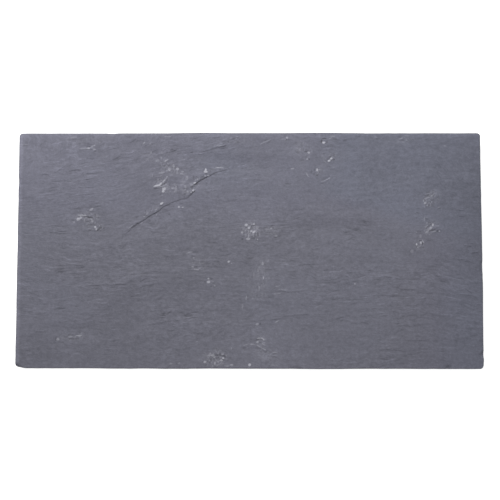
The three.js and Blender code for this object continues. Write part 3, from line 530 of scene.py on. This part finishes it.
def ledge_fields(x, y):
    """Signed distance below the ledge's lip, the drop there, and how much painted shade its foot gets."""
    distance = np.full(x.shape, 1e9)
    below, drop, crack_shade = np.zeros((3, *x.shape))
    for (x0, y0, d0), (x1, y1, d1) in zip(LEDGE_LIP, LEDGE_LIP[1:]):
        run_x, run_y = x1 - x0, y1 - y0
        length = math.hypot(run_x, run_y)
        t = np.clip(((x - x0) * run_x + (y - y0) * run_y) / length**2, 0, 1)
        away = np.hypot(x - x0 - t * run_x, y - y0 - t * run_y)
        side = ((x - x0) * run_y - (y - y0) * run_x) / length
        drop_here = mix(d0, d1, t)
        nearer = away < distance
        distance = np.where(nearer, away, distance)
        below = np.where(nearer, side, below)
        drop = np.where(nearer, drop_here, drop)
        crack_shade = np.where(nearer, LEDGE_CRACK_SHADE * drop_here * (run_x > 0), crack_shade)
    patchy = np.clip(0.75 + 0.6 * noise(x / 4.5, y / 4.5, 56), 0.3, 1.1)
    return np.copysign(distance, below), drop, crack_shade * (patchy - 0.25 * band(x, *LESS_SHADED_LEDGE))


def ledge_relief(x, y):
    """A ragged wall below the lip, a face that rises again from its foot, and a thin rim."""
    ragged = 0.6 * noise(x / 3.1, y / 3.1, 41) + 0.4 * noise(x / 1.3, y / 1.3, 42)
    distance, drop, _ = ledge_fields(x, y)
    distance = distance + ragged
    drop = drop * (0.85 + 0.35 * noise(x / 6, y / 6, 51))
    wall = ease(distance / LEDGE_WALL + 0.5)
    rise = np.clip(1 - np.maximum(distance, 0) / LEDGE_REACH, 0, 1) ** 1.6
    rim = LEDGE_RIM * np.exp(-np.maximum(-distance, 0) / 2.5) * (distance < 0)
    return rim - drop * wall * rise


def scar_relief(x, y):
    """Shallow bites with a broken lip at the upper side that run out at the lower."""
    relief = np.zeros(x.shape)
    wobble = 0.25 * noise(x / 2.6, y / 2.6, 43) + 0.15 * noise(x / 1.2, y / 1.2, 44)
    for mid_x, mid_y, length, width, turn, depth in FLAKE_SCARS:
        along, across = turned(x, y, mid_x, mid_y, turn)
        radius = np.hypot(along / (length / 2), across / (width / 2)) + wobble
        inside = ease((1 - radius) * 3.5)
        relief = np.minimum(relief, -depth * inside * np.clip(0.5 + across / width, 0, 1))
    return relief


def bruise_strength(x, y):
    """How much the slate is crushed pale at each point, from 0 to 1."""
    return mark_strength(x, y, BRUISES, 0.25 * noise(x / 2.1, y / 2.1, 45), **MARK_EDGE)


def pit_strength(x, y):
    """How deep the pits and cracks are at each point, from 0 to 1."""
    return mark_strength(x, y, PITS, 0.25 * noise(x / 2.1, y / 2.1, 46), **MARK_EDGE)


def patch_strength(x, y):
    """How broken the face is at each point, from 0 to 1."""
    return mark_strength(x, y, ROUGH_PATCHES, 0.3 * noise(x / 7, y / 7, 47), **PATCH_EDGE)


def broken_noise(x, y):
    """The lumps of broken ground."""
    return np.tanh(2.5 * noise(x / 3.6, y / 2.7, 48)) + 0.6 * noise(x / 1.8, y / 1.6, 49)


def tone_and_light_change(x, y):
    """How much paler the soft patches make each point: partly the slate's own tone, partly painted light and
    shade.
    """
    change = np.zeros(x.shape)
    for mid_x, mid_y, length, width, amount in TONES_AND_PAINTED_LIGHT:
        radius = np.hypot((x - mid_x) / (length / 2), (y - mid_y) / (width / 2))
        change += amount * np.exp(-(radius**2))
    return change


def seam_fields(x, y):
    """The seams' relief, the distance above the nearest one and how strongly it shows there."""
    relief, strength = np.zeros((2, *x.shape))
    nearest = np.full(x.shape, 9.0)
    bend = 0.7 * noise(x / 8, y / 8, 52) + 0.4 * noise(x / 3.5, y / 3.5, 53)
    for mid_x, mid_y, length, turn, drop in SEAMS:
        along, across = turned(x, y, mid_x, mid_y, turn)
        window = ease(2.75 - 5 * np.abs(along) / length)
        above = across + bend
        relief += drop * window * np.exp(-np.maximum(above, 0) / 2) * (above > 0)
        nearer = (np.abs(above) < np.abs(nearest)) & (window > 0)
        nearest = np.where(nearer, above, nearest)
        shown = drop * window * np.clip(1.5 - np.abs(above) / 2, 0, 1)
        strength = np.where(nearer, shown, strength)
    return relief, nearest, strength


def mark_relief(x, y):
    """Bruises stand up a little, pits go down, and the ground round them is broken."""
    broken = ROUGH_HEIGHT * patch_strength(x, y) * broken_noise(x, y)
    return BRUISE_RISE * bruise_strength(x, y) - PIT_DEPTH * pit_strength(x, y) + broken


def chip_relief(x, y):
    """Hollows where the arris is knocked off."""
    relief = np.zeros(x.shape)
    for mid_x, mid_y, length, depth in ARRIS_CHIPS:
        on_end = abs(mid_x) / LENGTH > abs(mid_y) / WIDTH
        reach_x, reach_y = (2 * depth, length / 2) if on_end else (length / 2, 2 * depth)
        radius = np.hypot((x - mid_x) / reach_x, (y - mid_y) / reach_y)
        relief = np.minimum(relief, -depth * np.sqrt(np.clip(1 - radius**2, 0, 1)))
    return relief


# Outline

def round_corner(x, y, half_x, half_y, radius):
    """Moves points of a rectangle's border onto the border with rounded corners."""
    beyond_x = np.abs(x) - (half_x - radius)
    beyond_y = np.abs(y) - (half_y - radius)
    in_corner = (beyond_x > 0) & (beyond_y > 0)
    pull = np.maximum(beyond_x, beyond_y) / np.maximum(np.hypot(beyond_x, beyond_y), 1e-9)
    round_x = np.sign(x) * (half_x - radius + beyond_x * pull)
    round_y = np.sign(y) * (half_y - radius + beyond_y * pull)
    return np.where(in_corner, round_x, x), np.where(in_corner, round_y, y)


def bow_depth(along, outward_x, outward_y):
    """How far the side that faces outward bows in at each place along it."""
    depth_there = np.zeros(along.shape)
    for (x, y), place, reach, depth in SIDE_BOWS:
        bow = depth * ease(1 - np.abs(along - place) / reach)
        depth_there += np.where((outward_x == x) & (outward_y == y), bow, 0)
    return depth_there


def edge_wander(x, y):
    """How far the cut sides wander, fading inwards."""
    sign_x, sign_y = np.sign(x), np.sign(y)
    depth, length, seed = EDGE_WANDER["depth"], EDGE_WANDER["length"], EDGE_WANDER["seed"]
    wander_x = noise(y / length, sign_x, seed) + 0.4 * noise(y / 9, sign_x, seed + 7)
    wander_y = noise(x / length, sign_y, seed + 1) + 0.4 * noise(x / 9, sign_y, seed + 8)
    shift_x = depth * wander_x - bow_depth(y, sign_x, 0)
    shift_y = depth * wander_y - bow_depth(x, 0, sign_y)
    return shift_x * (x / HALF_LENGTH) ** 9, shift_y * (y / HALF_WIDTH) ** 9


def arris_drop(inset):
    """How far the rounded arris drops at each inset from the border."""
    within = np.maximum(ARRIS_RADIUS - inset, 0)
    return ARRIS_RADIUS - np.sqrt(ARRIS_RADIUS**2 - within**2)


# Mesh

def grid_lines(half, spacing, parts):
    """Grid lines across the face, closest at the arris, with parts - 1 thin ones between each two."""
    insets = [half - inset for inset in ARRIS_INSETS]
    inner = half - ARRIS_RADIUS
    inside = list(np.linspace(-inner, inner, round(2 * inner / spacing) + 1))
    lines = [-line for line in insets] + inside + insets[::-1]
    return np.interp(np.arange(parts * (len(lines) - 1) + 1) / parts, np.arange(len(lines)), lines)


def marked_cells(x, y):
    """Which cells, given by their centres, a bruise, a pit or the ledge's lip reaches."""
    marked = np.zeros(x.shape, bool)
    for mark in BRUISES + PITS:
        marked |= mark_radius(x, y, mark, CUT_MARGIN) < 1
    marked |= np.abs(ledge_fields(x, y)[0]) < CUT_MARGIN
    inside = (np.abs(x) < HALF_LENGTH - UNCUT_BORDER) & (np.abs(y) < HALF_WIDTH - UNCUT_BORDER)
    return marked & inside


def upper_grid():
    """The upper face's grid: x and y of its vertices, its faces and the vertices of its border."""
    columns = grid_lines(HALF_LENGTH, SPACING_X, CUT_X)
    rows = grid_lines(HALF_WIDTH, SPACING_Y, CUT_Y)
    x, y = np.meshgrid(columns, rows)
    centres = np.s_[CUT_Y // 2 :: CUT_Y, CUT_X // 2 :: CUT_X]
    cut = marked_cells(x[centres], y[centres])
    used = np.zeros(x.shape, bool)
    used[::CUT_Y, ::CUT_X] = True
    for row, column in np.argwhere(cut) * (CUT_Y, CUT_X):
        used[row : row + CUT_Y + 1, column : column + CUT_X + 1] = True
    index = np.where(used, np.cumsum(used).reshape(used.shape) - 1, -1)

    faces = []
    for (row, column), is_cut in np.ndenumerate(cut):
        row, column = row * CUT_Y, column * CUT_X
        block = index[row : row + CUT_Y + 1, column : column + CUT_X + 1].tolist()
        if is_cut:
            for lower, upper in zip(block, block[1:]):
                faces += [[lower[i], lower[i + 1], upper[i + 1], upper[i]] for i in range(CUT_X)]
        else:
            right, left = [line[-1] for line in block], [line[0] for line in block]
            around = block[0][:-1] + right[:-1] + block[-1][:0:-1] + left[:0:-1]
            faces.append([vertex for vertex in around if vertex >= 0])
    corner = index[::CUT_Y, ::CUT_X]
    border = np.concatenate([corner[0, :-1], corner[:-1, -1], corner[-1, :0:-1], corner[:0:-1, 0]])
    return x[used], y[used], faces, border


def upper_vertices(x, y):
    """Vertices of the upper face at the places of its grid, and their insets from the border."""
    inset = np.minimum(HALF_LENGTH - np.abs(x), HALF_WIDTH - np.abs(y))
    radius = np.maximum(CORNER_RADIUS - inset, 0)
    x, y = round_corner(x, y, HALF_LENGTH - inset, HALF_WIDTH - inset, radius)
    shift_x, shift_y = edge_wander(x, y)
    x, y = x + shift_x, y + shift_y
    z = THICKNESS + broad_relief(x, y) + lump_relief(x, y) + fine_relief(x, y) + riser_relief(x, y)
    z += seam_fields(x, y)[0] + ledge_relief(x, y) + scar_relief(x, y) + mark_relief(x, y)
    z += chip_relief(x, y) - arris_drop(inset)
    return np.stack([x, y, z], axis=-1), inset


def side_recess(x, y, z):
    """How far the edges of the layers stand back from the outline."""
    on_end = np.abs(x) / LENGTH > np.abs(y) / WIDTH
    along = np.where(on_end, y, x)
    side = 2 * np.sign(x) + np.sign(y)
    seed = SIDE_LAYERS["seed"]
    layer = noise(along / SIDE_LAYERS["length"], z / SIDE_LAYERS["thickness"] + 9 * side, seed)
    dip = noise(along / 90, side, seed + 4)
    thin = noise(along / 26, np.floor((z + dip) / 2.4) + 9 * side, seed + 5)
    broken = noise(along / 6, z / 3 + 9 * side, seed + 6)
    return SIDE_LAYERS["depth"] * (1 + 0.5 * layer + 0.35 * thin + 0.15 * broken) / 2


def ring_at(outline, z, layer_share, inset=0):
    """The outline at a level, set back by that share of the layers' recess and the inset."""
    x, y = outline[:, 0], outline[:, 1]
    recess = inset + layer_share * side_recess(x, y, z)
    x, y = x * (1 - recess / HALF_LENGTH), y * (1 - recess / HALF_WIDTH)
    return np.stack([x, y, np.full(x.shape, z)], axis=-1)


def side_rings(outline):
    """Rings of vertices down the sides and the lower chamfer to the underside."""
    levels = np.linspace(THICKNESS - ARRIS_RADIUS - 1, LOWER_CHAMFER, SIDE_RINGS)
    rings = [ring_at(outline, z, 1 if z > LOWER_CHAMFER else 0.4) for z in levels]
    rings.append(ring_at(outline, LOWER_CHAMFER / 2, 0.2, LOWER_CHAMFER / 3))
    rings.append(ring_at(outline, 0, 0, LOWER_CHAMFER))
    return rings


def side_faces(border, first, count, ring_count):
    """Faces from the border down the rings and across the underside."""
    faces = []
    pairs = [(i, (i + 1) % count) for i in range(count)]
    for i, after in pairs:
        middle = border[2 * i + 1] if 2 * i + 1 < len(border) else border[0]
        above = [border[2 * after % len(border)], middle, border[2 * i]]
        faces.append([first + i, first + after] + above)
    for r in range(ring_count - 1):
        upper, lower = first + r * count, first + (r + 1) * count
        faces += [[lower + i, lower + after, upper + after, upper + i] for i, after in pairs]
    last = first + (ring_count - 1) * count
    faces.append([last + i for i in reversed(range(count))])
    return faces


def build_slab():
    """The slab's mesh, with what its material needs stored on the vertices."""
    x, y, faces, border = upper_grid()
    points, inset = upper_vertices(x, y)

    # The sides take every second vertex of the border, which runs anticlockwise seen from above
    outline = points[border[::2]]
    rings = side_rings(outline)
    faces += side_faces(border, len(points), len(outline), len(rings))

    vertices = np.concatenate([points] + rings)
    mesh = bpy.data.meshes.new("riven_slab")
    mesh.from_pydata((vertices * MM).tolist(), [], faces)
    mesh.polygons.foreach_set("use_smooth", [True] * len(mesh.polygons))
    mesh.polygons[-1].use_smooth = False
    mesh.set_sharp_from_angle(angle=math.radians(SHARP_ANGLE))
    store_fields(mesh, vertices, inset, len(outline))
    return mesh


def arris_shade(y):
    """Painted shade on the arris, darkest along the upper side and lightest along the lower."""
    return 0.7 + 0.3 * ease((y - ARRIS_SHADE_Y) / 3) - 0.6 * ease((-y - ARRIS_SHADE_Y) / 3)


def blueness(x, y):
    """Bluer towards the upper right and at the right side, and in a patch at the top."""
    upper_right = np.clip((x + 2.8 * np.minimum(y - BLUE_Y, 0) - 70) / 60, 0, 1)
    right = 0.7 * np.clip((x - BLUE_X) / 40, 0, 1)
    return np.maximum(np.maximum(upper_right, right), 0.6 * spot(x, y, *BLUE_SPOT))


def store_fields(mesh, vertices, inset, underside_count):
    """Stores on the vertices the grain's own coordinates, where the slate is marked and where shade and
    highlights are painted.
    """
    x, y = vertices[:, 0], vertices[:, 1]
    on_top = np.arange(len(vertices)) < len(inset)
    depth_in = np.pad(inset, (0, len(vertices) - len(inset)))
    on_underside = np.arange(len(vertices)) >= len(vertices) - underside_count
    along, level = grain_place(x, y)
    distance, _, crack_shade = ledge_fields(x, y)
    seam_lip_highlight_and_shade, above_seam, seam_line_shade_and_highlight = seam_fields(x, y)
    # Painted highlight along the edges: strongest along the left edge, weaker along the upper and lower ones
    left_highlight = ease(1.4 - (x + HALF_LENGTH) / 5)
    top_highlight = ease(1.6 - (HALF_WIDTH - y) / 5)
    bottom_highlight = ease(1.6 - (HALF_WIDTH + y) / 3)
    rim = np.maximum(left_highlight, np.maximum(0.35 * top_highlight, 0.2 * bottom_highlight))
    on_top_only = {
        "crushed": bruise_strength(x, y),
        # Painted highlight and shade above the seams, and painted shade or highlight along their lines
        "seam_lip_highlight_and_shade": seam_lip_highlight_and_shade,
        "seam_line_shade_and_highlight": seam_line_shade_and_highlight,
        "broken": patch_strength(x, y),
        "pit_shade": pit_strength(x, y),
        "rim": rim,
        "ledge_crack_shade": np.clip(crack_shade, 0, 1) * (distance < 8),
        "streaked": streak_strength(x, y),
        # Painted shade and highlight that follow the flakes' relief
        "flake_shade_and_highlight": fine_relief(x, y) / 0.1,
        "tone_and_painted_light": tone_and_light_change(x, y),
    }
    fields = {name: np.where(on_top, values, 0) for name, values in on_top_only.items()}
    fields |= {
        "along": MM * np.where(on_top, along, x),
        "level": MM * np.where(on_top, level, y),
        "side": ~(on_top | on_underside),
        "underside": on_underside,
        "above_seam": above_seam,
        # Upper face: painted shade on the arris. Sides and underside: the cut edges' darker colour at half
        # strength
        "cut": np.where(on_top, arris_shade(y) * np.clip(1 - depth_in / ARRIS_RADIUS, 0, 1), 0.5),
        "below_ledge": np.clip(distance, -9, 9),
        "grain": np.where(on_top, grain_strength(x, y), 0.4),
        "blue": blueness(x, y),
        "warm": np.clip((WARM_Y - y) / 40, 0, 1) * np.clip((WARM_X - x) / 60, 0, 1),
    }
    for name, values in fields.items():
        attribute = mesh.attributes.new(name, "FLOAT", "POINT")
        attribute.data.foreach_set("value", values.astype(np.float32))


# Material

class ShaderTree:
    """A new material and its shader nodes."""

    def __init__(self, name):
        self.material = bpy.data.materials.new(name)
        self.material.use_nodes = True
        self.tree = self.material.node_tree

    def fill(self, node, inputs):
        """Links or sets inputs of a node, given by name or number."""
        for name, value in inputs.items():
            if isinstance(value, bpy.types.NodeSocket):
                self.tree.links.new(value, node.inputs[name])
            else:
                node.inputs[name].default_value = value

    def surface(self, inputs):
        """Fills inputs of the material's own shader."""
        self.fill(self.tree.nodes["Principled BSDF"], inputs)

    def add(self, kind, inputs=None, **settings):
        node = self.tree.nodes.new("ShaderNode" + kind)
        for name, value in settings.items():
            setattr(node, name, value)
        self.fill(node, inputs or {})
        return node

    def field(self, name):
        """A value that is stored on the mesh."""
        return self.add("Attribute", attribute_name=name).outputs["Fac"]

    def math(self, operation, a, b=0.0, clamp=False):
        return self.add("Math", {0: a, 1: b}, operation=operation, use_clamp=clamp).outputs[0]

    def plus(self, a, b, clamp=False):
        return self.math("ADD", a, b, clamp)

    def times(self, a, b):
        return self.math("MULTIPLY", a, b)

    def absolute(self, a):
        return self.math("ABSOLUTE", a)

    def noise(self, vector, scale, detail=3.0, roughness=0.55):
        inputs = {"Vector": vector, "Scale": scale, "Detail": detail, "Roughness": roughness}
        return self.add("TexNoise", inputs).outputs["Fac"]

    def stretched_noise(self, vector, scales, detail, roughness):
        """Noise with its own scale along each axis."""
        mapped = self.add("Mapping", {"Vector": vector, "Scale": scales})
        return self.noise(mapped.outputs["Vector"], 1, detail, roughness)

    def span(self, value, low, high, to_low, to_high):
        """Carries one range over to another, and stops at its ends."""
        inputs = {"Value": value, "From Min": low, "From Max": high, "To Min": to_low, "To Max": to_high}
        return self.add("MapRange", inputs).outputs["Result"]

    def mix(self, factor, a, b, blend="MIX"):
        inputs = {0: factor, 6: a, 7: b}
        return self.add("Mix", inputs, data_type="RGBA", blend_type=blend).outputs[2]


def slate_patterns(tree):
    """The patterns that the slate's looks share."""
    place = tree.add("TexCoord").outputs["Object"]
    height = tree.add("SeparateXYZ", {0: place}).outputs["Z"]
    split = {0: tree.field("along"), 1: tree.field("level"), 2: height}
    split = tree.add("CombineXYZ", split).outputs[0]
    streaks = tree.plus(tree.stretched_noise(split, (50, 330, 900), 3, 0.6), -0.5)
    streaks = tree.times(streaks, tree.absolute(streaks))
    edge_layers = tree.stretched_noise(place, (35, 35, 1000), 4, 0.65)
    saw_marks = tree.stretched_noise(place, (9, 420, 9), 3, 0.6)
    return SimpleNamespace(
        place=place,
        layers=tree.stretched_noise(split, (150, 340, 700), 4, 0.6),
        speckle=tree.stretched_noise(split, (420, 1000, 1000), 3, 0.7),
        grit=tree.noise(place, 260, 3, 0.6),
        broken=tree.noise(place, 330, 3, 0.6),
        fleck=tree.noise(place, 340, 3, 0.6),
        streaks=tree.times(tree.times(streaks, 6.0), tree.field("streaked")),
        edge_layers=tree.times(tree.span(edge_layers, 0.35, 0.65, -1, 1), tree.field("side")),
        saw_marks=tree.times(tree.span(saw_marks, 0.35, 0.65, -1, 1), tree.field("underside")),
    )


def slate_colour(tree, slate):
    """Bluer towards the upper right, warmer in the lower half."""
    drift = tree.span(tree.noise(slate.place, 9, 2), 0.3, 0.7, -0.2, 0.2)
    colour = tree.mix(tree.field("warm"), SLATE, WARM_SLATE)
    return tree.mix(tree.plus(tree.field("blue"), drift, clamp=True), colour, BLUE_SLATE)


def slate_shade(tree, slate):
    """Mottling, thin layers, seams, fine speckle and painted shade and highlights, as one factor of the
    colour.
    """
    thin_layers = tree.span(slate.layers, 0.38, 0.62, -0.075, 0.075)
    ragged_seam = tree.plus(tree.field("above_seam"), tree.span(slate.fleck, 0, 1, -0.6, 0.6))
    seam_line = tree.span(tree.absolute(ragged_seam), 0.15, 0.85, 1, 0)
    seam_line = tree.times(seam_line, tree.field("seam_line_shade_and_highlight"))
    factors = [
        tree.span(tree.noise(slate.place, 18, 4), 0.3, 0.7, 0.95, 1.05),
        tree.span(tree.noise(slate.place, 8, 2), 0.3, 0.7, 0.97, 1.03),
        # Painted shade in the flakes' hollows and painted highlight on their crests
        tree.span(tree.field("flake_shade_and_highlight"), -1, 1, 0.95, 1.05),
        tree.plus(tree.times(thin_layers, tree.field("grain")), 1.0),
        tree.plus(slate.streaks, 1.0),
        # Painted highlight where the ground rises above a seam, painted shade where it sinks
        tree.span(tree.field("seam_lip_highlight_and_shade"), -0.7, 0.7, 0.92, 1.08),
        # Painted shade along seam lines, or a painted highlight where the drop is negative
        tree.span(seam_line, -1, 1, 1.4, 0.6),
        tree.span(slate.grit, 0.35, 0.65, 0.93, 1.07),
        tree.span(slate.speckle, 0.3, 0.7, 0.86, 1.14),
        # Painted highlight along the edges
        tree.span(tree.field("rim"), 0, 1, 1.0, 1.3),
        # Soft patches, partly the slate's own tone and partly painted light and shade
        tree.plus(tree.field("tone_and_painted_light"), 1.0),
        tree.span(slate.edge_layers, -1, 1, 0.8, 1.2),
        tree.span(slate.saw_marks, -1, 1, 0.95, 1.05),
    ]
    return reduce(tree.times, factors)


def hollow_shade(tree, slate):
    """Painted shade in the hollows: pits, broken ground and the crack at the ledge."""
    pit_shade = tree.times(tree.span(slate.broken, 0.36, 0.46, 0.7, 0), tree.field("broken"))
    ragged_lip = tree.plus(tree.field("below_ledge"), tree.span(slate.fleck, 0, 1, -1.6, 1.6))
    crack = tree.span(tree.absolute(tree.plus(ragged_lip, -0.5)), 0.15, 1.0, 0.85, 0)
    # Painted shade in the crack at the ledge's foot
    crack = tree.times(crack, tree.field("ledge_crack_shade"))
    return tree.math("MAXIMUM", crack, tree.math("MAXIMUM", pit_shade, tree.field("pit_shade")))


def crushed_slate(tree, slate):
    """Where the slate is crushed pale: flecked bruises, and crests and a web in broken ground."""
    from_line = tree.absolute(tree.plus(tree.noise(slate.place, 170, 3, 0.5), -0.5))
    web = tree.span(slate.fleck, 0.42, 0.6, 0, 0.35)
    web = tree.times(tree.span(from_line, 0.01, 0.07, 1, 0), web)
    crest = tree.math("MAXIMUM", tree.span(slate.broken, 0.57, 0.68, 0, 0.2), web)
    crest = tree.times(tree.plus(crest, 0.05), tree.field("broken"))
    fine_fleck = tree.noise(slate.place, 480, 3, 0.6)
    bruise = tree.plus(tree.field("crushed"), tree.span(fine_fleck, 0, 1, -0.35, 0.35))
    bruise = tree.math("POWER", tree.span(bruise, 0.05, 1.05, 0, 1), 1.5)
    bruise = tree.times(bruise, tree.span(tree.field("crushed"), 0, 0.25, 0, 0.95))
    return tree.math("MAXIMUM", bruise, crest)


def slate_bumps(tree, slate):
    """The finest relief, as a bumped normal."""
    weights = [
        (slate.layers, 0.6),
        (slate.grit, 0.4),
        (tree.noise(slate.place, 1500, 3, 0.7), 0.2),
        (slate.streaks, 2.0),
        (slate.edge_layers, 0.35),
        (slate.saw_marks, 0.15),
        (slate.broken, tree.field("broken")),
    ]
    height = reduce(tree.plus, [tree.times(pattern, weight) for pattern, weight in weights])
    bump = {"Strength": BUMP["strength"], "Distance": BUMP["distance"], "Height": height}
    return tree.add("Bump", bump).outputs["Normal"]


def slate_material():
    tree = ShaderTree("riven_slate")
    slate = slate_patterns(tree)
    shade = slate_shade(tree, slate)
    grey = tree.add("CombineColor", {0: shade, 1: shade, 2: shade}).outputs[0]
    crushed = crushed_slate(tree, slate)
    # The shade factor holds painted shade and highlights as well as the slate's own mottling
    colour = tree.mix(1.0, slate_colour(tree, slate), grey, "MULTIPLY")
    # Painted shade on the upper arris, and the darker colour of the cut sides
    colour = tree.mix(tree.field("cut"), colour, EDGE_AND_ARRIS_SHADE_SLATE)
    # Painted shade in pits, broken ground and the ledge's crack
    colour = tree.mix(hollow_shade(tree, slate), colour, HOLLOW_SHADE_SLATE)
    colour = tree.mix(crushed, colour, CRUSHED_SLATE)
    roughness = tree.span(tree.noise(slate.place, 60, 4), 0.3, 0.7, 0.62, 0.78)
    roughness = tree.plus(roughness, tree.times(crushed, 0.2), clamp=True)
    tree.surface({"Base Color": colour, "Roughness": roughness})
    tree.surface({"Normal": slate_bumps(tree, slate), "Specular IOR Level": SLATE_SPECULAR})
    return tree.material


def floor_material():
    tree = ShaderTree("pale_floor")
    tree.surface({"Base Color": FLOOR_COLOUR, "Roughness": FLOOR_ROUGHNESS})
    tree.surface({"Emission Color": FLOOR_COLOUR, "Emission Strength": FLOOR_GLOW})
    return tree.material


# Scene

def add_object(name, data):
    made = bpy.data.objects.new(name, data)
    bpy.context.scene.collection.objects.link(made)
    return made


def add_stone():
    mesh = build_slab()
    mesh.materials.append(slate_material())
    stone = add_object("riven_slab", mesh)
    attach(stone, "root")
    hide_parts("stepping_stone")


def add_floor():
    corners = [(-1, -1), (1, -1), (1, 1), (-1, 1)]
    vertices = [(FLOOR_HALF * x, FLOOR_HALF * y, -FLOOR_GAP) for x, y in corners]
    mesh = bpy.data.meshes.new("floor")
    mesh.from_pydata(vertices, [], [(0, 1, 2, 3)])
    mesh.materials.append(floor_material())
    add_object("floor", mesh)


def add_area_light(name, place, size, power):
    light = bpy.data.lights.new(name, "AREA")
    light.shape = "DISK"
    light.size = size
    light.energy = power
    made = add_object(name, light)
    made.location = place
    made.rotation_euler = (-made.location).to_track_quat("-Z", "Y").to_euler()


def add_camera():
    camera = bpy.data.cameras.new("camera")
    camera.lens = CAMERA_LENS
    made = add_object("camera", camera)
    made.location = CAMERA_PLACE
    made.rotation_euler = [math.radians(turn) for turn in CAMERA_TURN]
    bpy.context.scene.camera = made


def add_world():
    world = bpy.data.worlds.new("studio")
    world.use_nodes = True
    background = world.node_tree.nodes["Background"]
    background.inputs["Color"].default_value = (1, 1, 1, 1)
    background.inputs["Strength"].default_value = WORLD_STRENGTH
    bpy.context.scene.world = world
    bpy.context.scene.view_settings.view_transform = "Standard"


add_stone()
add_floor()
add_area_light("key", **KEY_LIGHT)
add_camera()
add_world()
